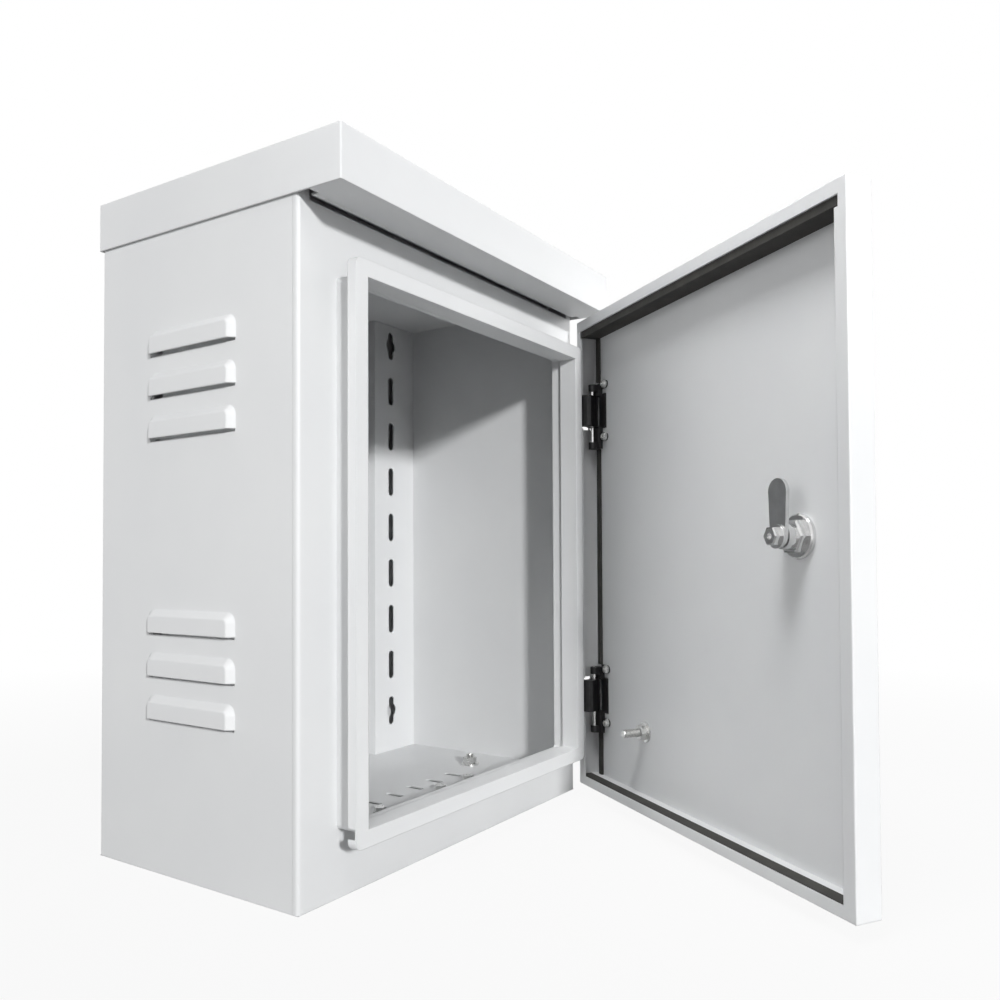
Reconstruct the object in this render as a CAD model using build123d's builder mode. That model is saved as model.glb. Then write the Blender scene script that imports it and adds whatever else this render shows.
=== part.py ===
"""Outdoor sheet-steel utility cabinet: louvered side, rain roof and a hinged door with a cam lock.

Millimetres. +Z up, origin at the middle of the base, front faces -Y, hinges on the +X side.
The door is drawn closed and then swung about its hinge pins to the angle at which it rests.
"""
import os
from math import cos, radians

from build123d import *

# Cabinet body
height = 565.5
width = 400.0
depth = 244.0
sheet = 1.5
edge_radius = 3.0
front_turn = 6.0
ceiling_drop = 28.5
ceiling_turn = 8.0
floor_height = 24.0
floor_turn = 20.0
vent_end = 11.0
vent_drop = 0.5
shelf_depth = 30.0
overrun = 2.0
bore_gap = 0.05
half_turn = 180.0

# Raised rim round the door opening, capped with a channel
rim_margin = 28.7
rim_rise = 42.3
rim_drop = 41.3
rim_depth = 29.0
rim_lip = 13.2
rim_corner_radius = 6.0
upstand_inset = 9.3
upstand_radius = 4.0
outer_leg = 8.5
inner_leg = 19.0
drain_height = 8.0
drain_rise = 12.0
strike_below = 12.0
strike_above = 31.0
strike_gap = 1.2

# Louvers, two groups on the left side
louver_length = 108.5
louver_height = 19.0
louver_reach = 5.0
louver_taper = 47.5
louver_corner_radius = 9.0
louver_round = 2.4
louver_slit = 2.0
louver_slit_inset = 1.0
louver_pitch = 35.0
louver_low_rise = 125.0
louver_high_drop = 211.5
louver_count = 3

# Holes for fixing the back to a wall
wall_hole_diameter = 9.0
wall_hole_spacing_x = 200.0
wall_hole_rise = 80.0
wall_hole_drop = 85.5

# Roof
roof_overhang = 44.5
roof_clearance = 0.6
roof_front_height = 41.0
roof_fall = 6.0
roof_edge_radius = 1.2
roof_gap = 5.0
roof_notch_width = 9.0
roof_notch_depth = 7.0

# Mounting rails on the back wall
rail_width = 70.0
rail_depth = 16.0
slot_width = 9.0
slot_length = 33.0
slot_rise = 48.0
slot_drop = 25.0
slot_count = 9
slot_inset = 41.5
keyhole_diameter = 16.0

# Floor openings, bolts and earth stud
floor_slot_count = 8
floor_slot_pitch = 30.9
floor_slot_length = 20.5
floor_slot_width = 6.5
floor_slot_line = -28.5
floor_slot_shift = -5.0
cross_slot_length = 40.0
cross_slot_short_length = 16.0
cross_slot_width = 5.0
cross_slot_line = -58.0
cross_slot_reach = 75.0
floor_bolt_line = -55.5
floor_bolt_inner_reach = 44.0
floor_bolt_outer_reach = 91.0
floor_bolt_shift = 3.5
bolt_diameter = 6.0
bolt_hole_diameter = 6.6
bolt_head_width = 10.0
bolt_head_height = 4.0
bolt_washer_diameter = 13.0
bolt_washer_height = 1.2
bolt_tail = 6.0
floor_earth_inset = 50.0
floor_earth_y = -17.0
earth_diameter = 8.0
earth_nut_width = 13.0
earth_nut_height = 6.5
earth_washer_diameter = 20.0
earth_washer_height = 1.6
floor_earth_length = 12.0
door_earth_length = 25.0
door_earth_inset = 100.8
door_earth_height = 83.5
stud_chamfer = 1.0

# Door pan
door_reveal = 3.5
door_bottom = 13.0
door_top_gap = 9.5
door_depth = 22.5
door_stand_off = 18.5
door_lip_side = 11.5
door_lip_top = 11.2
door_lip_bottom = 9.0
door_corner_radius = 1.4
door_fold_share = 0.75
door_relief_width = 3.5
door_relief_height = 8.5
door_open_angle = 55.84

# Hinges
hinge_inset = 9.2
hinge_setback = 13.6
upper_hinge_drop = 97.8
lower_hinge_rise = 94.6
pin_diameter = 4.6
pin_clearance = 0.05
knuckle_radius = 5.8
knuckle_height = 33.0
arm_clearance = 2.25
arm_thickness = 6.0
arm_front = 5.2
arm_chamfer = 3.0
arm_inner_turn = 5.0
arm_waist_x = 4.0
arm_waist_y = 4.0
block_base_thickness = 3.0
block_base_width = 20.0
block_screw_inset = 11.5
block_screw_spacing = 20.0
block_screw_diameter = 4.0
block_head_diameter = 7.0
block_head_height = 2.2
block_screw_tail = 3.0
relief_depth = 13.0
relief_margin = 2.0
leaf_thickness = 1.5
leaf_height = 64.0
leaf_middle_height = 37.0
leaf_near = 5.0
leaf_waist = 9.6
leaf_far = 17.9
leaf_ear_radius = 4.2
cradle_thickness = 4.2
cradle_half_width = 4.4
eye_radius = 4.2
eye_gap = 5.5
upper_eye_height = 7.5
lower_eye_drop = 16.5
lower_eye_height = 7.0
cup_floor = 2.0
running_gap = 0.4
pin_chamfer = 0.8
leaf_screw_reach = 17.3
leaf_screw_spacing = 56.4
leaf_screw_diameter = 5.0
leaf_head_diameter = 9.0
leaf_head_height = 3.6
leaf_head_chamfer = 1.3
leaf_socket_width = 3.4
leaf_socket_depth = 1.6

# Seals
seal_top_drop = 18.2
seal_side_width = 6.2
seal_side_thickness = 2.5
seal_hinge_inset = 9.0
seal_bottom_height = 8.0
seal_bottom_depth = 11.5
seal_rail_sheet = 1.2

# Cam lock
lock_inset = 72.7
lock_height = 269.0
lock_barrel_diameter = 19.0
lock_flange_diameter = 27.0
lock_flange_height = 3.5
lock_flange_chamfer = 1.0
lock_barrel_length = 17.5
lock_washer_diameter = 34.0
lock_washer_height = 3.8
lock_washer_chamfer = 1.2
lock_nut_width = 24.0
lock_nut_height = 6.5
plug_diameter = 12.0
plug_gap = 0.1
plug_post_diameter = 8.0
key_slot_length = 7.0
key_slot_width = 1.6
key_slot_depth = 5.0
lock_nut_chamfer = 1.2
cam_width = 20.0
cam_root_width = 16.6
cam_length = 42.8
cam_thickness = 3.0
cam_gap = 0.5
cam_screw_diameter = 5.0
cam_screw_depth = 11.0
cam_washer_diameter = 18.0
cam_washer_height = 1.8
cam_bolt_width = 13.0
cam_bolt_height = 5.8
cam_bolt_chamfer = 0.9
cam_bolt_socket_width = 5.0
cam_bolt_socket_depth = 2.5

# Places worked out from the sizes above
half_width = width / 2
half_depth = depth / 2
inner_width = width - 2 * sheet
inner_depth = depth - 2 * sheet
inner_back = half_depth - sheet
front_y = -half_depth
roof_half_width = half_width + roof_clearance + sheet
roof_front_y = front_y - roof_overhang
roof_back_y = half_depth + roof_clearance + sheet
roof_length = roof_back_y - roof_front_y
roof_back_bottom = height - roof_front_height
roof_bottom = roof_back_bottom - roof_fall
roof_front_top = height - roof_fall
wall_height = height + overrun
roof_underside = Plane(
    origin=(0, roof_front_y, roof_front_top - sheet),
    x_dir=(1, 0, 0),
    z_dir=(0, -roof_fall, roof_length),
)
ceiling_height = height - ceiling_drop
front_top = roof_bottom - vent_drop
rim_front = half_depth + rim_depth
rim_width = width - 2 * rim_margin
rim_top = roof_bottom - rim_drop
rim_height = rim_top - rim_rise
rim_middle = (rim_top + rim_rise) / 2
opening_width = rim_width - 2 * rim_lip
opening_height = rim_height - 2 * rim_lip
upstand_width = rim_width - 2 * upstand_inset
upstand_height = rim_height - 2 * upstand_inset
slot_pitch = (ceiling_height - slot_drop - floor_height - slot_rise) / (slot_count - 1)
slot_middle = (ceiling_height - slot_drop + floor_height + slot_rise) / 2
floor_earth_x = half_width - floor_earth_inset
door_width = width - door_reveal
door_half = door_width / 2
door_top = roof_bottom - door_top_gap
door_height = door_top - door_bottom
door_middle = (door_top + door_bottom) / 2
door_fold_radius = door_fold_share * door_corner_radius
door_back_y = front_y - door_stand_off
skin_inside_y = door_back_y - door_depth + sheet
skin_outside_y = door_back_y - door_depth
hinge_x = door_half - hinge_inset
hinge_y = door_back_y - hinge_setback
hinge_axis = Axis((hinge_x, hinge_y, 0), (0, 0, 1))
hinge_heights = {"upper": door_top - upper_hinge_drop, "lower": door_bottom + lower_hinge_rise}
arm_left = rim_width / 2 + arm_clearance
knuckle_half = knuckle_height / 2
block_screw_x = arm_left + block_screw_inset
upper_end = knuckle_half + eye_gap + upper_eye_height
lower_end = knuckle_half + lower_eye_drop + lower_eye_height
lock_x = lock_inset - door_half
cam_y = skin_inside_y + lock_barrel_length + cam_gap
strike_y = cam_y - strike_gap
strike_height = strike_below + strike_above
strike_z = lock_height - strike_below + strike_height / 2

os.makedirs("parts", exist_ok=True)


def keep(part, label):
    """Label a piece and write it."""
    part.label = label
    export_step(part, f"parts/{label}.step")


def keep_swung(part, label):
    """Write a door piece, swung about the hinge pins to the angle at which the door rests."""
    keep(part.rotate(hinge_axis, door_open_angle), label)


def facing(y, x=0, z=0):
    """A plane facing -Y through (x, y, z), with its own x along X and its own y along Z."""
    return Plane(origin=(x, y, z), x_dir=(1, 0, 0), z_dir=(0, -1, 0))


def inward(y, x=0, z=0):
    """A plane facing +Y through (x, y, z), for what stands on the inside of the door's skin."""
    return Plane(origin=(x, y, z), x_dir=(-1, 0, 0), z_dir=(0, 1, 0))


# Front panel: turned edges, an upstand round the opening and a shelf turned in under the roof
with BuildPart() as front_panel:
    with BuildSketch():
        RectangleRounded(width, depth, edge_radius)
        RectangleRounded(inner_width, inner_depth, edge_radius - sheet, mode=Mode.SUBTRACT)
        with Locations((0, front_y + front_turn / 2)):
            Rectangle(width, front_turn, mode=Mode.INTERSECT)
    extrude(amount=wall_height)
    split(bisect_by=roof_underside, keep=Keep.BOTTOM)
    with BuildSketch(facing(front_y + sheet, z=(front_top + wall_height) / 2)):
        Rectangle(width - 2 * vent_end, wall_height - front_top)
    extrude(amount=sheet, mode=Mode.SUBTRACT)
    shelf_width = inner_width - 2 * overrun
    with BuildSketch(Plane.XY.offset(front_top - sheet)):
        with Locations((0, front_y + shelf_depth / 2)):
            Rectangle(shelf_width, shelf_depth)
    extrude(amount=sheet)
    with BuildSketch(Plane.XY.offset(front_top)):
        with Locations((0, front_y + shelf_depth - sheet / 2)):
            Rectangle(shelf_width, sheet)
    extrude(amount=ceiling_height - front_top)
    with BuildSketch(facing(front_y, z=rim_middle)):
        RectangleRounded(upstand_width, upstand_height, upstand_radius)
    extrude(amount=rim_depth - sheet)
    with BuildSketch(facing(front_y + sheet, z=rim_middle)):
        RectangleRounded(upstand_width - 2 * sheet, upstand_height - 2 * sheet, upstand_radius - sheet)
    extrude(amount=rim_depth, mode=Mode.SUBTRACT)
    with Locations((-(upstand_width - sheet) / 2, cam_y + cam_thickness / 2, strike_z)):
        Box(2 * sheet, cam_thickness + 2 * strike_gap, strike_height, mode=Mode.SUBTRACT)
    for hinge_z in hinge_heights.values():
        with BuildSketch(facing(front_y + sheet, x=block_screw_x, z=hinge_z)):
            with GridLocations(0, block_screw_spacing, 1, 2):
                Circle(block_screw_diameter / 2 + bore_gap)
        extrude(amount=sheet, mode=Mode.SUBTRACT)
keep(front_panel.part, "front_panel")

# Channel that caps the upstand: lip, outer leg and deeper inner leg
with BuildPart() as rim_cap:
    with BuildSketch(facing(outer_leg - rim_front, z=rim_middle)):
        RectangleRounded(rim_width, rim_height, rim_corner_radius)
    extrude(amount=outer_leg)
    with BuildSketch(facing(outer_leg - rim_front, z=rim_middle)):
        RectangleRounded(rim_width - 2 * sheet, rim_height - 2 * sheet, rim_corner_radius - sheet)
    extrude(amount=outer_leg - sheet, mode=Mode.SUBTRACT)
    with BuildSketch(facing(inner_leg - rim_front, z=rim_middle)):
        Rectangle(opening_width + 2 * sheet, opening_height + 2 * sheet)
    extrude(amount=inner_leg)
    with BuildSketch(facing(inner_leg - rim_front, z=rim_middle)):
        Rectangle(opening_width, opening_height)
    extrude(amount=inner_leg, mode=Mode.SUBTRACT)
    drain_depth = outer_leg - sheet
    for side in (-1, 1):
        drain_x = side * (rim_width - sheet) / 2
        with Locations((drain_x, outer_leg - rim_front - drain_depth / 2, rim_rise + drain_rise)):
            Box(2 * sheet, drain_depth, drain_height, mode=Mode.SUBTRACT)
    strike_end = inner_leg - rim_front
    with Locations((-(opening_width + sheet) / 2, (strike_y + strike_end) / 2, strike_z)):
        Box(2 * sheet, strike_end - strike_y, strike_height, mode=Mode.SUBTRACT)
keep(rim_cap.part, "rim_cap")

# Louver: hood pressed out of the wall, and the throat that opens it inwards and downwards
louver_plane = Plane(origin=(0, 0, 0), x_dir=(0, -1, 0), z_dir=(-1, 0, 0))
louver_skin = sheet / cos(radians(louver_taper))
with BuildPart() as hood:
    with BuildSketch(louver_plane):
        RectangleRounded(louver_length, 2 * louver_height, louver_corner_radius)
    extrude(amount=louver_reach, taper=louver_taper)
    fillet(hood.faces().sort_by(Axis.X)[0].edges(), louver_round)
    split(bisect_by=Plane.XY, keep=Keep.TOP)
with BuildPart() as throat:
    with BuildSketch(louver_plane):
        RectangleRounded(
            louver_length - 2 * louver_skin,
            2 * louver_height - 2 * louver_skin,
            louver_corner_radius - louver_skin,
        )
    extrude(amount=louver_reach - sheet, taper=louver_taper)
    with BuildSketch(louver_plane):
        RectangleRounded(
            louver_length - 2 * louver_skin,
            2 * louver_height - 2 * louver_skin,
            louver_corner_radius - louver_skin,
        )
    extrude(amount=-sheet - overrun)
    split(bisect_by=Plane.XY, keep=Keep.TOP)
    with BuildSketch(louver_plane):
        with Locations((0, -louver_slit / 2)):
            Rectangle(louver_length - 2 * louver_slit_inset, louver_slit)
    extrude(amount=-sheet - overrun)

louver_places = [
    Location((-half_width, 0, group_height + step * louver_pitch))
    for group_height in (louver_low_rise, height - louver_high_drop)
    for step in range(louver_count)
]

# Both sides and the back in one folded sheet
with BuildPart() as body_wrap:
    with BuildSketch():
        RectangleRounded(width, depth, edge_radius)
        RectangleRounded(inner_width, inner_depth, edge_radius - sheet, mode=Mode.SUBTRACT)
        with Locations((0, front_turn / 2)):
            Rectangle(width, depth - front_turn, mode=Mode.INTERSECT)
    extrude(amount=wall_height)
    split(bisect_by=roof_underside, keep=Keep.BOTTOM)
    with Locations(*louver_places):
        add(hood.part)
        add(throat.part, mode=Mode.SUBTRACT)
    wall_hole_spacing_z = height - wall_hole_drop - wall_hole_rise
    with BuildSketch(inward(inner_back, z=wall_hole_rise + wall_hole_spacing_z / 2)):
        with GridLocations(wall_hole_spacing_x, wall_hole_spacing_z, 2, 2):
            Circle(wall_hole_diameter / 2)
    extrude(amount=sheet, mode=Mode.SUBTRACT)
keep(body_wrap.part, "body_wrap")

# Inner top with its edges turned up against the walls
with BuildPart() as top_plate:
    with BuildSketch(Plane.XY.offset(ceiling_height)):
        RectangleRounded(inner_width, inner_depth, edge_radius)
    extrude(amount=ceiling_turn)
    with BuildSketch(Plane.XY.offset(ceiling_height + sheet)):
        RectangleRounded(inner_width - 2 * sheet, inner_depth - 2 * sheet, edge_radius - sheet)
    extrude(amount=ceiling_turn, mode=Mode.SUBTRACT)
keep(top_plate.part, "top_plate")

# Floor with its edges turned down, cable slots, bolt holes and the earth stud's hole
bolt_places = [
    (floor_bolt_shift + side * reach, floor_bolt_line)
    for side in (-1, 1)
    for reach in (floor_bolt_inner_reach, floor_bolt_outer_reach)
]
with BuildPart() as floor_plate:
    with BuildSketch(Plane.XY.offset(floor_height - floor_turn)):
        RectangleRounded(inner_width, inner_depth, edge_radius)
    extrude(amount=floor_turn)
    with BuildSketch(Plane.XY.offset(floor_height - floor_turn)):
        RectangleRounded(inner_width - 2 * sheet, inner_depth - 2 * sheet, edge_radius - sheet)
    extrude(amount=floor_turn - sheet, mode=Mode.SUBTRACT)
    with BuildSketch(Plane.XY.offset(floor_height - sheet)):
        with Locations((floor_slot_shift, floor_slot_line)):
            with GridLocations(floor_slot_pitch, 0, floor_slot_count, 1):
                SlotOverall(floor_slot_length, floor_slot_width, rotation=half_turn / 2)
        with Locations((floor_bolt_shift, cross_slot_line)):
            SlotOverall(cross_slot_length, cross_slot_width)
            with GridLocations(2 * cross_slot_reach, 0, 2, 1):
                SlotOverall(cross_slot_short_length, cross_slot_width)
        with Locations(*bolt_places):
            Circle(bolt_hole_diameter / 2)
        with Locations((floor_earth_x, floor_earth_y)):
            Circle(earth_diameter / 2 + bore_gap)
    extrude(amount=sheet, mode=Mode.SUBTRACT)
keep(floor_plate.part, "floor_plate")

# Floor bolts, each with its washer
with BuildPart() as floor_bolts:
    with BuildSketch(Plane.XY.offset(floor_height)):
        with Locations(*bolt_places):
            Circle(bolt_washer_diameter / 2)
    extrude(amount=bolt_washer_height)
    with BuildSketch(Plane.XY.offset(floor_height + bolt_washer_height)):
        with Locations(*bolt_places):
            RegularPolygon(bolt_head_width / 2, 6, major_radius=False)
    extrude(amount=bolt_head_height)
    with BuildSketch(Plane.XY.offset(floor_height - sheet - bolt_tail)):
        with Locations(*bolt_places):
            Circle(bolt_diameter / 2)
    extrude(amount=sheet + bolt_tail)
keep(floor_bolts.part, "floor_bolts")

# Earth stud through the floor, with its washer and nut
with BuildPart() as floor_earth_stud:
    with BuildSketch(Plane.XY.offset(floor_height - sheet)):
        with Locations((floor_earth_x, floor_earth_y)):
            Circle(earth_diameter / 2)
    extrude(amount=sheet + floor_earth_length)
    chamfer(floor_earth_stud.faces().sort_by(Axis.Z)[-1].edges(), stud_chamfer)
keep(floor_earth_stud.part, "floor_earth_stud")
with BuildPart() as floor_earth_washer:
    with BuildSketch(Plane.XY.offset(floor_height)):
        with Locations((floor_earth_x, floor_earth_y)):
            Circle(earth_washer_diameter / 2)
            Circle(earth_diameter / 2 + bore_gap, mode=Mode.SUBTRACT)
    extrude(amount=earth_washer_height)
keep(floor_earth_washer.part, "floor_earth_washer")
with BuildPart() as floor_earth_nut:
    with BuildSketch(Plane.XY.offset(floor_height + earth_washer_height)):
        with Locations((floor_earth_x, floor_earth_y)):
            RegularPolygon(earth_nut_width / 2, 6, major_radius=False)
            Circle(earth_diameter / 2 + bore_gap, mode=Mode.SUBTRACT)
    extrude(amount=earth_nut_height)
keep(floor_earth_nut.part, "floor_earth_nut")

# Slotted mounting rails: channels open to the back wall
for side_name, side in (("left", -1), ("right", 1)):
    with BuildPart() as mounting_rail:
        rail_x = side * (half_width - sheet - rail_width / 2)
        with BuildSketch(Plane.XY.offset(floor_height)):
            with Locations((rail_x, inner_back - rail_depth / 2)):
                Rectangle(rail_width, rail_depth)
            with Locations((rail_x, inner_back - rail_depth / 2 + sheet / 2)):
                Rectangle(rail_width - 2 * sheet, rail_depth - sheet, mode=Mode.SUBTRACT)
            with Locations((side * (half_width - sheet), inner_back)):
                Rectangle(2 * edge_radius, 2 * edge_radius, mode=Mode.SUBTRACT)
        extrude(amount=ceiling_height - floor_height)
        slot_x = side * (half_width - sheet - slot_inset)
        with BuildSketch(facing(inner_back - rail_depth + sheet, x=slot_x, z=slot_middle)):
            with GridLocations(0, slot_pitch, 1, slot_count):
                SlotOverall(slot_length, slot_width, rotation=half_turn / 2)
            with GridLocations(0, slot_pitch * (slot_count - 1), 1, 2):
                Circle(keyhole_diameter / 2)
        extrude(amount=sheet, mode=Mode.SUBTRACT)
    keep(mounting_rail.part, f"mounting_rail_{side_name}")

# Roof: pan turned over the walls and tilted to the front, with a flange under the front overhang
roof_lean = roof_fall * sheet / roof_length
with BuildPart() as roof_canopy:
    with BuildSketch(Plane.YZ):
        with BuildLine():
            Polyline(
                (roof_front_y, roof_bottom),
                (roof_front_y, roof_front_top),
                (roof_back_y, height),
                (roof_back_y, roof_back_bottom),
                close=True,
            )
        make_face()
    extrude(amount=roof_half_width, both=True)
    fillet(roof_canopy.edges().filter_by(Axis.Z), roof_edge_radius)
    fillet(roof_canopy.faces().sort_by(Axis.Z)[-1].edges(), roof_edge_radius)
    with BuildSketch(Plane.YZ):
        with BuildLine():
            Polyline(
                (roof_front_y + sheet, roof_bottom + sheet + roof_lean),
                (roof_front_y + sheet, roof_front_top - sheet + roof_lean),
                (roof_back_y - sheet, height - sheet - roof_lean),
                (roof_back_y - sheet, roof_back_bottom + sheet - roof_lean),
                close=True,
            )
        make_face()
    extrude(amount=roof_half_width - sheet, both=True, mode=Mode.SUBTRACT)
    flange_back = front_y - roof_gap
    skirt_inside = roof_half_width - sheet
    with BuildSketch(Plane.XY.offset(roof_bottom - overrun)):
        with Locations((0, (flange_back + roof_back_y - sheet) / 2)):
            Rectangle(2 * skirt_inside, roof_back_y - sheet - flange_back)
        notch_x = skirt_inside - roof_notch_width / 2
        with Locations((-notch_x, flange_back), (notch_x, flange_back)):
            Rectangle(roof_notch_width, 2 * roof_notch_depth)
    extrude(amount=roof_fall + 2 * overrun + sheet, mode=Mode.SUBTRACT)
keep(roof_canopy.part, "roof_canopy")

# Body side of each hinge: base plate, cranked arm and knuckle round the pin
for hinge_name, hinge_z in hinge_heights.items():
    with BuildPart() as hinge_block:
        with BuildSketch(Plane.XY.offset(hinge_z - knuckle_half)):
            with BuildLine():
                Polyline(
                    (hinge_x, hinge_y - arm_front),
                    (arm_left + arm_chamfer, hinge_y - arm_front),
                    (arm_left, hinge_y - arm_front + arm_chamfer),
                    (arm_left, front_y),
                    (arm_left + arm_thickness, front_y),
                    (arm_left + arm_thickness, hinge_y + arm_inner_turn),
                    (hinge_x - arm_waist_x, hinge_y + arm_waist_y),
                    (hinge_x, hinge_y),
                    close=True,
                )
            make_face()
            with Locations((hinge_x, hinge_y)):
                Circle(knuckle_radius)
                Circle(pin_diameter / 2 + pin_clearance, mode=Mode.SUBTRACT)
        extrude(amount=knuckle_height)
        with BuildSketch(facing(front_y, x=arm_left + block_base_width / 2, z=hinge_z)):
            Rectangle(block_base_width, knuckle_height)
        extrude(amount=block_base_thickness)
        with BuildSketch(facing(front_y, x=block_screw_x, z=hinge_z)):
            with GridLocations(0, block_screw_spacing, 1, 2):
                Circle(block_screw_diameter / 2 + bore_gap)
        extrude(amount=block_base_thickness, mode=Mode.SUBTRACT)
    keep(hinge_block.part, f"hinge_block_{hinge_name}")

# Screws that hold the hinge blocks to the front panel
block_screw_places = [
    (block_screw_x, hinge_z + end * block_screw_spacing / 2)
    for hinge_z in hinge_heights.values()
    for end in (-1, 1)
]
with BuildPart() as block_screws:
    with BuildSketch(facing(front_y + sheet + block_screw_tail)):
        with Locations(*block_screw_places):
            Circle(block_screw_diameter / 2)
    extrude(amount=block_screw_tail + sheet + block_base_thickness)
    with BuildSketch(facing(front_y - block_base_thickness)):
        with Locations(*block_screw_places):
            Circle(block_head_diameter / 2)
    extrude(amount=block_head_height)
keep(block_screws.part, "block_screws")

# Door: shallow pan with lips turned in all round, relieved at the hinge arms
with BuildPart() as door_panel:
    with BuildSketch(facing(door_back_y, z=door_middle)):
        RectangleRounded(door_width, door_height, door_corner_radius)
    extrude(amount=door_depth)
    fillet(door_panel.faces().sort_by(Axis.Y)[0].edges(), door_fold_radius)
    fillet(door_panel.faces().sort_by(Axis.Y)[-1].edges(), door_fold_radius)
    with BuildSketch(facing(door_back_y - sheet, z=door_middle)):
        Rectangle(door_width - 2 * sheet, door_height - 2 * sheet)
    extrude(amount=door_depth - 2 * sheet, mode=Mode.SUBTRACT)
    window_middle = door_middle + (door_lip_bottom - door_lip_top) / 2
    with BuildSketch(facing(door_back_y, z=window_middle)):
        Rectangle(door_width - 2 * door_lip_side, door_height - door_lip_top - door_lip_bottom)
    extrude(amount=sheet, mode=Mode.SUBTRACT)
    relief_height = knuckle_height + 2 * relief_margin
    for hinge_z in hinge_heights.values():
        with Locations((door_half - door_lip_side / 2, door_back_y - relief_depth / 2, hinge_z)):
            Box(door_lip_side + overrun, relief_depth, relief_height, mode=Mode.SUBTRACT)
    relief_z = door_top - door_lip_top - door_relief_height / 2
    for side in (-1, 1):
        relief_x = side * (door_half - door_lip_side)
        with Locations((relief_x, door_back_y - sheet / 2, relief_z)):
            Box(2 * door_relief_width, sheet, door_relief_height, mode=Mode.SUBTRACT)
    with BuildSketch(facing(skin_inside_y, x=lock_x, z=lock_height)):
        Circle(lock_barrel_diameter / 2 + bore_gap)
    extrude(amount=sheet, mode=Mode.SUBTRACT)
keep_swung(door_panel.part, "door_panel")

# Door side of each hinge: leaf on the skin, cradles behind the pin, an eye above and a cup below
for hinge_name, hinge_z in hinge_heights.items():
    upper_start = knuckle_half + running_gap
    eye_depth = hinge_y - skin_inside_y
    with BuildPart() as hinge_leaf:
        with BuildSketch(inward(skin_inside_y, x=hinge_x, z=hinge_z)):
            with Locations(((leaf_near + leaf_waist) / 2, 0)):
                Rectangle(leaf_waist - leaf_near, leaf_height)
            with Locations(((leaf_near + leaf_far) / 2, 0)):
                Rectangle(leaf_far - leaf_near, leaf_middle_height)
            with GridLocations(0, leaf_screw_spacing, 1, 2):
                with Locations(((leaf_near + leaf_screw_reach) / 2, 0)):
                    Rectangle(leaf_screw_reach - leaf_near, 2 * leaf_ear_radius)
                with Locations((leaf_screw_reach, 0)):
                    Circle(leaf_ear_radius)
                    Circle(leaf_screw_diameter / 2 + bore_gap, mode=Mode.SUBTRACT)
        extrude(amount=leaf_thickness)
        for low, high in ((upper_start, upper_end), (-lower_end, -upper_start)):
            with BuildSketch(Plane.XY.offset(hinge_z + low)):
                with Locations((hinge_x - leaf_near / 2, skin_inside_y + cradle_thickness / 2)):
                    Rectangle(2 * cradle_half_width + leaf_near, cradle_thickness)
            extrude(amount=high - low)
        for low, eye_height in (
            (upper_end - upper_eye_height, upper_eye_height),
            (-lower_end, lower_eye_height),
        ):
            with BuildSketch(Plane.XY.offset(hinge_z + low)):
                with Locations((hinge_x, hinge_y - eye_depth / 2)):
                    Rectangle(2 * cradle_half_width, eye_depth)
                with Locations((hinge_x, hinge_y)):
                    Circle(eye_radius)
            extrude(amount=eye_height)
        with BuildSketch(Plane.XY.offset(hinge_z - lower_end + cup_floor)):
            with Locations((hinge_x, hinge_y)):
                Circle(pin_diameter / 2 + pin_clearance)
        extrude(amount=lower_end - cup_floor + upper_end, mode=Mode.SUBTRACT)
    keep_swung(hinge_leaf.part, f"hinge_leaf_{hinge_name}")
    with BuildPart() as hinge_pin:
        with BuildSketch(Plane.XY.offset(hinge_z - lower_end + cup_floor)):
            with Locations((hinge_x, hinge_y)):
                Circle(pin_diameter / 2)
        extrude(amount=lower_end - cup_floor + upper_end)
        chamfer(hinge_pin.edges(), pin_chamfer)
    keep_swung(hinge_pin.part, f"hinge_pin_{hinge_name}")

# Screws that hold the hinge leaves to the door
leaf_screw_places = [
    (leaf_screw_reach - hinge_x, hinge_z + end * leaf_screw_spacing / 2)
    for hinge_z in hinge_heights.values()
    for end in (-1, 1)
]
with BuildPart() as leaf_screws:
    with BuildSketch(inward(skin_inside_y)):
        with Locations(*leaf_screw_places):
            Circle(leaf_screw_diameter / 2)
    extrude(amount=leaf_thickness)
    with BuildSketch(inward(skin_inside_y + leaf_thickness)):
        with Locations(*leaf_screw_places):
            Circle(leaf_head_diameter / 2)
    extrude(amount=leaf_head_height)
    chamfer(leaf_screws.faces().group_by(Axis.Y)[-1].edges(), leaf_head_chamfer)
    head_top = skin_inside_y + leaf_thickness + leaf_head_height
    with BuildSketch(inward(head_top - leaf_socket_depth)):
        with Locations(*leaf_screw_places):
            RegularPolygon(leaf_socket_width / 2, 6, major_radius=False)
    extrude(amount=leaf_socket_depth, mode=Mode.SUBTRACT)
keep_swung(leaf_screws.part, "leaf_screws")

# Door seal: top strip, free-side strip and the hinge-side strips between the hinge leaves
seal_low = door_bottom + sheet + seal_bottom_height
seal_high = door_top - seal_top_drop
seal_edge = door_half - sheet
stop_above = max(upper_end, leaf_height / 2) + running_gap
stop_below = max(lower_end, leaf_height / 2) + running_gap
hinge_seal_x = seal_hinge_inset + seal_side_width / 2 - door_half
top_seal_length = seal_edge + door_half - seal_hinge_inset
with BuildPart() as gasket_top:
    with BuildSketch(inward(skin_inside_y)):
        with Locations((seal_edge - top_seal_length / 2, (seal_high + door_top - sheet) / 2)):
            Rectangle(top_seal_length, door_top - sheet - seal_high)
    extrude(amount=door_depth - 2 * sheet)
keep_swung(gasket_top.part, "gasket_top")
with BuildPart() as gasket_free_side:
    with BuildSketch(inward(skin_inside_y)):
        with Locations((seal_edge - seal_side_width / 2, (seal_low + seal_high) / 2)):
            Rectangle(seal_side_width, seal_high - seal_low)
    extrude(amount=seal_side_thickness)
keep_swung(gasket_free_side.part, "gasket_free_side")
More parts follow.
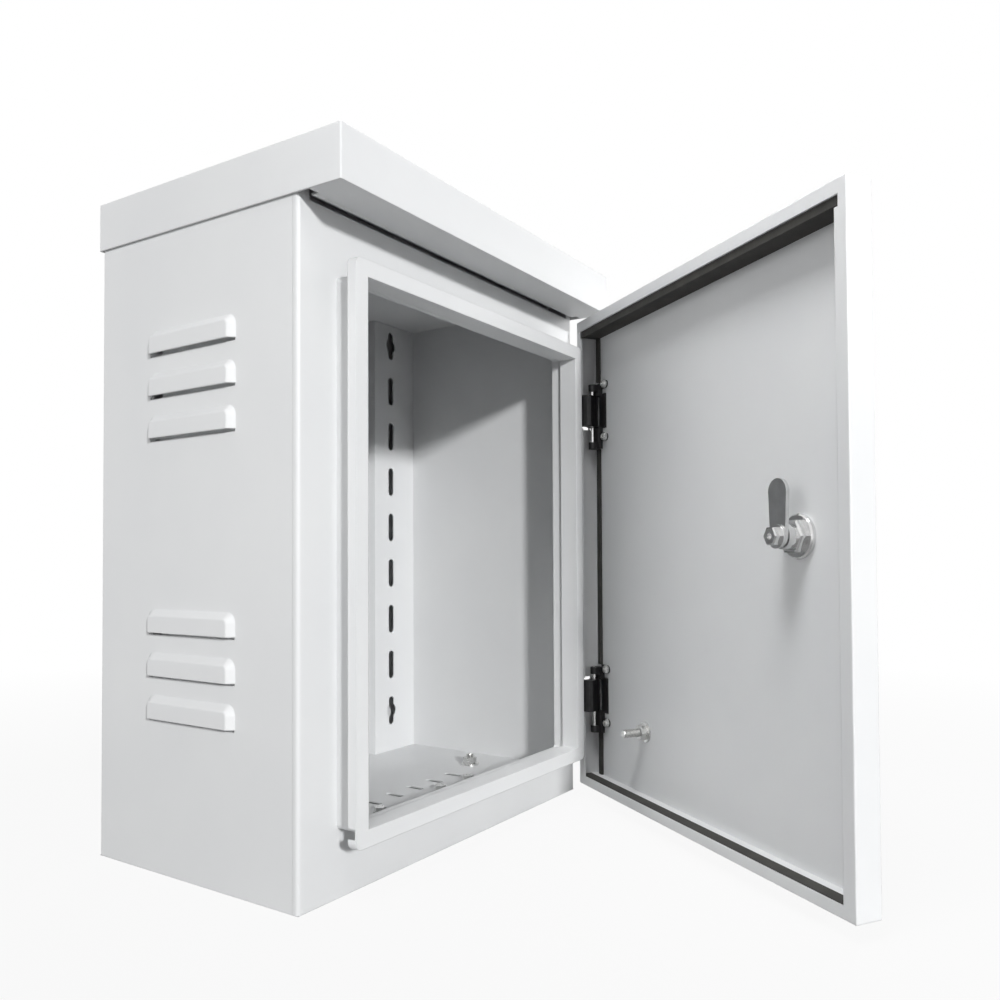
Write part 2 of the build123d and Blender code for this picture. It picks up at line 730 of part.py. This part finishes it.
with BuildPart() as gasket_hinge_side:
    with BuildSketch(inward(skin_inside_y)):
        for low, high in (
            (seal_low, hinge_heights["lower"] - stop_below),
            (hinge_heights["lower"] + stop_above, hinge_heights["upper"] - stop_below),
            (hinge_heights["upper"] + stop_above, seal_high),
        ):
            with Locations((hinge_seal_x, (low + high) / 2)):
                Rectangle(seal_side_width, high - low)
    extrude(amount=seal_side_thickness)
keep_swung(gasket_hinge_side.part, "gasket_hinge_side")

# Lower seal along the bottom lip, and the folded strip behind it
with BuildPart() as lower_gasket:
    with BuildSketch(inward(door_back_y - sheet - seal_bottom_depth)):
        with Locations((0, seal_low - seal_bottom_height / 2)):
            Rectangle(2 * seal_edge, seal_bottom_height)
    extrude(amount=seal_bottom_depth)
keep_swung(lower_gasket.part, "lower_gasket")
rail_front_y = door_back_y - sheet - seal_bottom_depth
with BuildPart() as gasket_rail:
    with BuildSketch(Plane.YZ):
        with BuildLine():
            Polyline(
                (skin_inside_y, seal_low),
                (rail_front_y, seal_low),
                (rail_front_y, seal_low - seal_bottom_height),
                (rail_front_y - seal_rail_sheet, seal_low - seal_bottom_height),
                (rail_front_y - seal_rail_sheet, seal_low - seal_rail_sheet),
                (skin_inside_y, seal_low - seal_rail_sheet),
                close=True,
            )
        make_face()
    extrude(amount=seal_edge, both=True)
keep_swung(gasket_rail.part, "gasket_rail")

# Lock housing through the door, its washer and its hexagon nut
with BuildPart() as lock_housing:
    with BuildSketch(facing(skin_outside_y, x=lock_x, z=lock_height)):
        Circle(lock_flange_diameter / 2)
    extrude(amount=lock_flange_height)
    chamfer(lock_housing.faces().sort_by(Axis.Y)[0].edges(), lock_flange_chamfer)
    with BuildSketch(inward(skin_outside_y, x=lock_x, z=lock_height)):
        Circle(lock_barrel_diameter / 2)
    extrude(amount=sheet + lock_barrel_length)
    with BuildSketch(inward(skin_outside_y - lock_flange_height, x=lock_x, z=lock_height)):
        Circle(plug_diameter / 2 + plug_gap)
    extrude(amount=lock_flange_height + sheet + lock_barrel_length, mode=Mode.SUBTRACT)
keep_swung(lock_housing.part, "lock_housing")
with BuildPart() as lock_washer:
    with BuildSketch(inward(skin_inside_y, x=lock_x, z=lock_height)):
        Circle(lock_washer_diameter / 2)
        Circle(lock_barrel_diameter / 2 + bore_gap, mode=Mode.SUBTRACT)
    extrude(amount=lock_washer_height)
    chamfer(lock_washer.faces().sort_by(Axis.Y)[-1].outer_wire().edges(), lock_washer_chamfer)
keep_swung(lock_washer.part, "lock_washer")
with BuildPart() as lock_nut:
    with BuildSketch(inward(skin_inside_y + lock_washer_height, x=lock_x, z=lock_height)):
        RegularPolygon(lock_nut_width / 2, 6, major_radius=False)
    extrude(amount=lock_nut_height)
    chamfer(lock_nut.faces().sort_by(Axis.Y)[-1].edges(), lock_nut_chamfer)
    with BuildSketch(inward(skin_inside_y + lock_washer_height, x=lock_x, z=lock_height)):
        Circle(lock_barrel_diameter / 2 + bore_gap)
    extrude(amount=lock_nut_height, mode=Mode.SUBTRACT)
keep_swung(lock_nut.part, "lock_nut")

# Lock plug with its key slot, the cam on its end, and the bolt and washer that hold the cam
with BuildPart() as lock_plug:
    with BuildSketch(inward(skin_outside_y - lock_flange_height, x=lock_x, z=lock_height)):
        Circle(plug_diameter / 2)
    extrude(amount=lock_flange_height + sheet + lock_barrel_length + cam_gap)
    with BuildSketch(inward(cam_y, x=lock_x, z=lock_height)):
        Circle(plug_post_diameter / 2)
    extrude(amount=cam_thickness)
    with BuildSketch(inward(cam_y + cam_thickness - cam_screw_depth, x=lock_x, z=lock_height)):
        Circle(cam_screw_diameter / 2 + bore_gap)
    extrude(amount=cam_screw_depth, mode=Mode.SUBTRACT)
    with BuildSketch(inward(skin_outside_y - lock_flange_height, x=lock_x, z=lock_height)):
        Rectangle(key_slot_width, key_slot_length)
    extrude(amount=key_slot_depth, mode=Mode.SUBTRACT)
keep_swung(lock_plug.part, "lock_plug")
with BuildPart() as lock_cam:
    with BuildSketch(inward(cam_y, x=lock_x, z=lock_height)):
        Circle(cam_root_width / 2)
        with Locations((0, cam_length - cam_width / 2)):
            Circle(cam_width / 2)
        make_hull()
        Circle(plug_post_diameter / 2 + bore_gap, mode=Mode.SUBTRACT)
    extrude(amount=cam_thickness)
keep_swung(lock_cam.part, "lock_cam")
with BuildPart() as cam_washer:
    with BuildSketch(inward(cam_y + cam_thickness, x=lock_x, z=lock_height)):
        Circle(cam_washer_diameter / 2)
        Circle(cam_screw_diameter / 2 + bore_gap, mode=Mode.SUBTRACT)
    extrude(amount=cam_washer_height)
keep_swung(cam_washer.part, "cam_washer")
with BuildPart() as cam_bolt:
    bolt_seat = cam_y + cam_thickness + cam_washer_height
    with BuildSketch(inward(bolt_seat, x=lock_x, z=lock_height)):
        RegularPolygon(cam_bolt_width / 2, 6, major_radius=False)
    extrude(amount=cam_bolt_height)
    chamfer(cam_bolt.faces().sort_by(Axis.Y)[-1].edges(), cam_bolt_chamfer)
    with BuildSketch(inward(bolt_seat + cam_bolt_height - cam_bolt_socket_depth, x=lock_x, z=lock_height)):
        Circle(cam_bolt_socket_width / 2)
    extrude(amount=cam_bolt_socket_depth, mode=Mode.SUBTRACT)
    shank_length = cam_washer_height + cam_screw_depth - overrun
    with BuildSketch(inward(bolt_seat - shank_length, x=lock_x, z=lock_height)):
        Circle(cam_screw_diameter / 2)
    extrude(amount=shank_length)
keep_swung(cam_bolt.part, "cam_bolt")

# Earth stud on the door, with its washer and nut
earth_x = door_half - door_earth_inset
with BuildPart() as door_earth_stud:
    with BuildSketch(inward(skin_inside_y, x=earth_x, z=door_earth_height)):
        Circle(earth_diameter / 2)
    extrude(amount=door_earth_length)
    chamfer(door_earth_stud.faces().sort_by(Axis.Y)[-1].edges(), stud_chamfer)
keep_swung(door_earth_stud.part, "door_earth_stud")
with BuildPart() as door_earth_washer:
    with BuildSketch(inward(skin_inside_y, x=earth_x, z=door_earth_height)):
        Circle(earth_washer_diameter / 2)
        Circle(earth_diameter / 2 + bore_gap, mode=Mode.SUBTRACT)
    extrude(amount=earth_washer_height)
keep_swung(door_earth_washer.part, "door_earth_washer")
with BuildPart() as door_earth_nut:
    with BuildSketch(inward(skin_inside_y + earth_washer_height, x=earth_x, z=door_earth_height)):
        RegularPolygon(earth_nut_width / 2, 6, major_radius=False)
        Circle(earth_diameter / 2 + bore_gap, mode=Mode.SUBTRACT)
    extrude(amount=earth_nut_height)
keep_swung(door_earth_nut.part, "door_earth_nut")
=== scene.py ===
"""Looks for an outdoor sheet-steel utility cabinet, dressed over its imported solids."""
import math

import bpy
from mathutils import Matrix, Vector


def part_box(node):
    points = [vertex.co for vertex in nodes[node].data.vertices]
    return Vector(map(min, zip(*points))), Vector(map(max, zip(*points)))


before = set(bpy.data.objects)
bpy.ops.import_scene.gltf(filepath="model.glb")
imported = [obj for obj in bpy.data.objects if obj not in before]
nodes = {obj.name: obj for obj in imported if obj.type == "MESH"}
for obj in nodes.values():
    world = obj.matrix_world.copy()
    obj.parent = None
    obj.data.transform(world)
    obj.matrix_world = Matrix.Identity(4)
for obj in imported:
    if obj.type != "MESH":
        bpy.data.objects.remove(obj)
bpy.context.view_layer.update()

# Node groups by finish
SHEET_PAINT = [
    "front_panel", "rim_cap", "body_wrap", "top_plate", "floor_plate", "roof_canopy",
    "mounting_rail_left", "mounting_rail_right", "door_panel", "gasket_rail",
]
ZINC = [
    "floor_bolts", "floor_earth_washer", "floor_earth_nut", "block_screws", "leaf_screws",
    "door_earth_washer", "door_earth_nut",
]
HINGE_BLACK = ["hinge_block_upper", "hinge_block_lower", "hinge_leaf_upper", "hinge_leaf_lower"]
PIN_STEEL = ["hinge_pin_upper", "hinge_pin_lower"]
SEAL = ["gasket_top", "gasket_free_side", "gasket_hinge_side", "lower_gasket"]
CHROME = [
    "lock_housing", "lock_washer", "lock_nut", "lock_plug", "lock_cam", "cam_washer", "cam_bolt",
]

# Threaded studs and the way each one points, on the floor and on the door as it rests open
DOOR_ANGLE = math.radians(55.84)
THREADED = {
    "floor_earth_stud": (0.0, 0.0, 1.0),
    "door_earth_stud": (-math.sin(DOOR_ANGLE), math.cos(DOOR_ANGLE), 0.0),
}

# The values between which most of a noise texture lies
NOISE_LOW, NOISE_HIGH = 0.3, 0.7
EDGE_SAMPLES = 4
# Bands of this scale are about 1.25 mm apart
THREAD_SCALE = 250.0


def fill(tree, socket, value):
    """Feed a socket from another node's output, or set it to a plain value."""
    if hasattr(value, "is_output"):
        tree.links.new(value, socket)
    else:
        socket.default_value = value


class Tree:
    """A material's node tree with short ways to add and join nodes."""

    def __init__(self, name):
        self.material = bpy.data.materials.new(name)
        self.material.use_nodes = True
        self.tree = self.material.node_tree
        self.shader = self.tree.nodes["Principled BSDF"]
        self.place = self.tree.nodes.new("ShaderNodeTexCoord").outputs["Object"]

    def add(self, kind, inputs):
        """Add a node and fill its named inputs."""
        node = self.tree.nodes.new(kind)
        for name, value in inputs.items():
            fill(self.tree, node.inputs[name], value)
        return node

    def set(self, name, value):
        """Fill an input of the material's shader."""
        fill(self.tree, self.shader.inputs[name], value)

    def noise(self, scale, detail=2.0):
        inputs = {"Vector": self.place, "Scale": scale, "Detail": detail}
        return self.add("ShaderNodeTexNoise", inputs).outputs["Fac"]

    def ranged(self, value, low, high):
        """Turn a noise into plain values between two ends."""
        inputs = {
            "Value": value, "From Min": NOISE_LOW, "From Max": NOISE_HIGH, "To Min": low, "To Max": high,
        }
        return self.add("ShaderNodeMapRange", inputs).outputs["Result"]

    def blend(self, value, dark, light, start=NOISE_LOW, end=NOISE_HIGH):
        """Turn values from start to end into colours from dark to light."""
        node = self.add("ShaderNodeValToRGB", {"Fac": value})
        node.color_ramp.elements[0].position = start
        node.color_ramp.elements[0].color = (*dark, 1)
        node.color_ramp.elements[1].position = end
        node.color_ramp.elements[1].color = (*light, 1)
        return node.outputs["Color"]

    def bump(self, height, strength, distance, below=None):
        """Give the normal of a relief, laid over the normal below it where there is one."""
        node = self.add("ShaderNodeBump", {"Height": height, "Strength": strength, "Distance": distance})
        if below is not None:
            fill(self.tree, node.inputs["Normal"], below)
        return node.outputs["Normal"]

    def soft_edges(self, radius):
        """Give a normal that looks rounded along the edges."""
        node = self.add("ShaderNodeBevel", {"Radius": radius})
        node.samples = EDGE_SAMPLES
        return node.outputs["Normal"]


def powder_coat():
    t = Tree("powder_coat_white")
    patch = t.noise(scale=9.0, detail=3.0)
    grain = t.noise(scale=1500.0)
    ripple = t.noise(scale=420.0, detail=1.0)
    t.set("Base Color", t.blend(patch, dark=(0.80, 0.81, 0.82), light=(0.83, 0.84, 0.845)))
    t.set("Roughness", t.ranged(grain, low=0.36, high=0.46))
    t.set("Specular IOR Level", 0.42)
    waves = t.bump(ripple, strength=0.05, distance=0.0004, below=t.soft_edges(radius=0.0012))
    t.set("Normal", t.bump(grain, strength=0.06, distance=0.0002, below=waves))
    return t.material


def zinc_plate():
    t = Tree("zinc_plate")
    patch = t.noise(scale=240.0, detail=3.0)
    fine = t.noise(scale=2600.0)
    t.set("Base Color", t.blend(patch, dark=(0.62, 0.62, 0.61), light=(0.78, 0.78, 0.77)))
    t.set("Metallic", 1.0)
    t.set("Roughness", t.ranged(patch, low=0.22, high=0.36))
    t.set("Normal", t.bump(fine, strength=0.08, distance=0.0001, below=t.soft_edges(radius=0.0004)))
    return t.material


def threaded(name, axis):
    t = Tree(name)
    turn = Vector(axis).rotation_difference(Vector((1, 0, 0))).to_euler()
    along = t.add("ShaderNodeMapping", {"Vector": t.place, "Rotation": turn}).outputs["Vector"]
    wave = t.add("ShaderNodeTexWave", {"Vector": along, "Scale": THREAD_SCALE})
    wave.wave_type = "BANDS"
    wave.bands_direction = "X"
    wave.wave_profile = "TRI"
    bands = wave.outputs["Fac"]
    # Painted shade: the colour bands darken the thread's grooves and lighten its crests, standing in for
    # how light falls on the ridges
    groove_shaded_steel = t.blend(bands, dark=(0.42, 0.42, 0.41), light=(0.86, 0.86, 0.84), start=0.1, end=0.6)
    t.set("Base Color", groove_shaded_steel)
    t.set("Metallic", 1.0)
    t.set("Roughness", t.ranged(t.noise(scale=900.0), low=0.24, high=0.38))
    t.set("Normal", t.bump(bands, strength=0.8, distance=0.0007))
    return t.material


def black_cast():
    t = Tree("black_coated_casting")
    patch = t.noise(scale=160.0, detail=3.0)
    fine = t.noise(scale=1900.0, detail=3.0)
    t.set("Base Color", t.blend(patch, dark=(0.006, 0.006, 0.007), light=(0.016, 0.016, 0.017)))
    t.set("Roughness", t.ranged(fine, low=0.36, high=0.52))
    t.set("Normal", t.bump(fine, strength=0.22, distance=0.0002, below=t.soft_edges(radius=0.0008)))
    return t.material


def bright_steel():
    t = Tree("bright_pin_steel")
    fine = t.noise(scale=1400.0)
    t.set("Base Color", t.blend(fine, dark=(0.80, 0.80, 0.79), light=(0.92, 0.92, 0.91)))
    t.set("Metallic", 1.0)
    t.set("Roughness", t.ranged(fine, low=0.16, high=0.26))
    return t.material


def seal_foam():
    t = Tree("seal_foam")
    cells = t.add("ShaderNodeTexVoronoi", {"Vector": t.place, "Scale": 1300.0}).outputs["Distance"]
    patch = t.noise(scale=60.0, detail=3.0)
    t.set("Base Color", t.blend(patch, dark=(0.030, 0.029, 0.027), light=(0.062, 0.060, 0.055)))
    t.set("Roughness", t.ranged(patch, low=0.80, high=0.95))
    t.set("Normal", t.bump(cells, strength=0.45, distance=0.0004, below=t.soft_edges(radius=0.0010)))
    return t.material


def lock_chrome():
    t = Tree("lock_chrome")
    patch = t.noise(scale=120.0)
    fine = t.noise(scale=2200.0)
    t.set("Base Color", t.blend(patch, dark=(0.68, 0.68, 0.68), light=(0.78, 0.78, 0.78)))
    t.set("Metallic", 1.0)
    t.set("Roughness", t.ranged(fine, low=0.06, high=0.13))
    t.set("Normal", t.bump(fine, strength=0.03, distance=0.0001, below=t.soft_edges(radius=0.0003)))
    return t.material


def dress(names, material):
    """Give one material to each of the named nodes."""
    for name in names:
        mesh = nodes[name].data
        mesh.materials.clear()
        mesh.materials.append(material)


dress(SHEET_PAINT, powder_coat())
dress(ZINC, zinc_plate())
for stud, direction in THREADED.items():
    dress([stud], threaded(f"thread_{stud}", direction))
dress(HINGE_BLACK, black_cast())
dress(PIN_STEEL, bright_steel())
dress(SEAL, seal_foam())
dress(CHROME, lock_chrome())

# Floor and backdrop: one pale plane that is white far away and keeps the object's shadow near it
FLOOR_REACH = 60.0
FLOOR_COLOUR = (0.45, 0.45, 0.45, 1)
WHITE = (1, 1, 1, 1)
WHITE_STRENGTH = 1.0
SHADOW_START, SHADOW_END = 0.45, 1.5
NEAR_GLOW, FAR_GLOW = 0.92, 1.0
FOOT_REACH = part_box("body_wrap")[1]


def add_fed(tree, kind, *sources, operation=None):
    """Add a node, set its operation and fill its inputs in order."""
    node = tree.nodes.new(kind)
    if operation:
        node.operation = operation
    for socket, source in zip(node.inputs, sources):
        fill(tree, socket, source)
    return node


def maths(tree, operation, *sources):
    """Give the result of one operation on sockets or plain values."""
    return add_fed(tree, "ShaderNodeMath", *sources, operation=operation).outputs[0]


def background_rays(tree):
    """Give two masks: the rays that should meet the white background, and the camera's own rays."""
    rays = tree.nodes.new("ShaderNodeLightPath").outputs
    mirrored = maths(tree, "MAXIMUM", rays["Is Glossy Ray"], rays["Is Transmission Ray"])
    seen = maths(tree, "MAXIMUM", rays["Is Camera Ray"], mirrored)
    return seen, rays["Is Camera Ray"]


def pale_floor():
    """Mix a pale tone with white, which grows with distance and leaves out the object's footprint."""
    material = bpy.data.materials.new("pale_floor")
    material.use_nodes = True
    tree = material.node_tree
    tree.nodes.clear()
    seen, direct = background_rays(tree)
    place = tree.nodes.new("ShaderNodeNewGeometry").outputs["Position"]
    away = add_fed(tree, "ShaderNodeVectorMath", place, operation="LENGTH").outputs["Value"]
    near = maths(tree, "MULTIPLY", direct, NEAR_GLOW)
    glow = add_fed(tree, "ShaderNodeMapRange", away, SHADOW_START, SHADOW_END, near, FAR_GLOW).outputs[0]
    spot = add_fed(tree, "ShaderNodeSeparateXYZ", place).outputs
    past_x = maths(tree, "GREATER_THAN", maths(tree, "ABSOLUTE", spot["X"]), FOOT_REACH[0])
    past_y = maths(tree, "GREATER_THAN", maths(tree, "ABSOLUTE", spot["Y"]), FOOT_REACH[1])
    outside = maths(tree, "MAXIMUM", past_x, past_y)
    shown = maths(tree, "MULTIPLY", seen, outside)
    share = maths(tree, "MULTIPLY", shown, glow)
    tone = add_fed(tree, "ShaderNodeBsdfDiffuse", FLOOR_COLOUR).outputs[0]
    white = add_fed(tree, "ShaderNodeEmission", WHITE, WHITE_STRENGTH).outputs[0]
    mixed = add_fed(tree, "ShaderNodeMixShader", share, tone, white).outputs[0]
    add_fed(tree, "ShaderNodeOutputMaterial", mixed)
    return material


floor_mesh = bpy.data.meshes.new("floor")
floor_mesh.from_pydata(
    [(-FLOOR_REACH, -FLOOR_REACH, 0), (FLOOR_REACH, -FLOOR_REACH, 0),
     (FLOOR_REACH, FLOOR_REACH, 0), (-FLOOR_REACH, FLOOR_REACH, 0)],
    [], [(0, 1, 2, 3)],
)
floor_mesh.materials.append(pale_floor())
floor = bpy.data.objects.new("floor", floor_mesh)
bpy.context.collection.objects.link(floor)

# World: white to the camera and to reflections, a low even level as light
SKY_STRENGTH = 0.15
world = bpy.data.worlds.new("studio")
bpy.context.scene.world = world
world.use_nodes = True
sky = world.node_tree
sky_seen = background_rays(sky)[0]
strength = add_fed(sky, "ShaderNodeMapRange", sky_seen, 0.0, 1.0, SKY_STRENGTH, WHITE_STRENGTH).outputs[0]
background = sky.nodes["Background"]
fill(sky, background.inputs["Color"], WHITE)
fill(sky, background.inputs["Strength"], strength)

# Lamps: a key left of the front, weak fills, and a narrow beam over the door that misses the roof
WIDE_BEAM, NARROW_BEAM = math.radians(180.0), math.radians(48.0)


def lamp(name, place, aim, size, watts, beam=WIDE_BEAM):
    """Hang a round soft lamp at a place and turn it to its aim."""
    light = bpy.data.lights.new(name, "AREA")
    light.shape = "DISK"
    light.size = size
    light.energy = watts
    light.spread = beam
    item = bpy.data.objects.new(name, light)
    item.location = place
    item.rotation_mode = "QUATERNION"
    item.rotation_quaternion = (Vector(aim) - Vector(place)).to_track_quat("-Z", "Y")
    bpy.context.collection.objects.link(item)


lamp("key", place=(-4.51, -7.45, 2.854), aim=(0.0, -0.1, 0.28), size=0.8, watts=610.0)
lamp("left_fill", place=(-2.79, 0.71, 1.05), aim=(0.0, -0.1, 0.30), size=1.6, watts=18.0)
lamp("top_light", place=(-0.38, -0.40, 1.25), aim=(0.08, -0.45, 0.20), size=0.45, watts=0.85,
     beam=NARROW_BEAM)
lamp("right_fill", place=(2.70, -1.15, 1.03), aim=(0.0, -0.1, 0.28), size=1.0, watts=16.0)
lamp("back_fill", place=(2.40, 2.90, 1.50), aim=(0.0, 0.0, 0.30), size=2.0, watts=62.0)

# Camera at the photograph's angle
CAMERA_PLACE = Vector((-0.6322, -0.59057, 0.25388))
YAW = math.radians(57.296)
PITCH = math.radians(1.322)
ROLL = math.radians(-0.315)
LENS_MM, SENSOR_MM = 30.98, 36.0
SHIFT_X, SHIFT_Y = -0.0223, 0.0384
CLIP_NEAR, CLIP_FAR = 0.01, 200.0
up = Vector((0.0, 0.0, 1.0))
ahead = Vector((math.sin(YAW), math.cos(YAW), 0.0))
right = Vector((math.cos(YAW), -math.sin(YAW), 0.0))
facing = ahead * math.cos(PITCH) + up * math.sin(PITCH)
level_up = up * math.cos(PITCH) - ahead * math.sin(PITCH)
across = right * math.cos(ROLL) + level_up * math.sin(ROLL)
upward = level_up * math.cos(ROLL) - right * math.sin(ROLL)
optics = bpy.data.cameras.new("camera")
optics.lens = LENS_MM
optics.sensor_width = SENSOR_MM
optics.shift_x = SHIFT_X
optics.shift_y = SHIFT_Y
optics.clip_start = CLIP_NEAR
optics.clip_end = CLIP_FAR
camera = bpy.data.objects.new("camera", optics)
camera.matrix_world = Matrix((
    (across.x, upward.x, -facing.x, CAMERA_PLACE.x),
    (across.y, upward.y, -facing.y, CAMERA_PLACE.y),
    (across.z, upward.z, -facing.z, CAMERA_PLACE.z),
    (0, 0, 0, 1),
))
bpy.context.collection.objects.link(camera)

# Picture settings
DIFFUSE_BOUNCES = 2
picture = bpy.context.scene
picture.camera = camera
picture.view_settings.view_transform = "Standard"
picture.cycles.diffuse_bounces = DIFFUSE_BOUNCES
